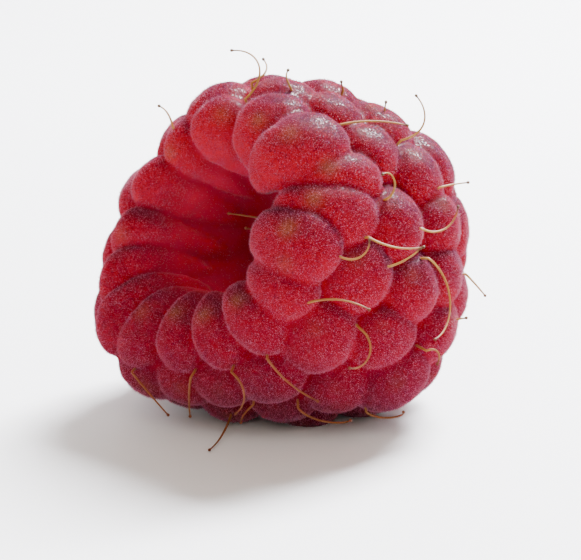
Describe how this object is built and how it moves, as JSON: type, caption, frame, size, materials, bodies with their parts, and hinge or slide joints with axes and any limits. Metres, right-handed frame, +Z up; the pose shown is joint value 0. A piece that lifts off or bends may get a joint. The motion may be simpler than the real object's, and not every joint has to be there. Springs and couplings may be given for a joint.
{
  "type": "raspberry",
  "caption": "Ripe raspberry lying on its side: a hollow thimble of grown-together drupelets with dry styles and an open end.",
  "frame": {"origin": "middle of the small pressed flat under the berry, on the surface that it rests on", "axes": "+Z up; the berry's axis lies over X, its tip towards +X and down and its open end towards -X and up"},
  "size_m": [0.0225, 0.0231, 0.0206],
  "materials": {
    "berry_flesh": "soft translucent red flesh with a fine pale fuzz"
  },
  "bodies": {
    "root": {"raspberry": "berry_flesh"}
  },
  "joints": []
}
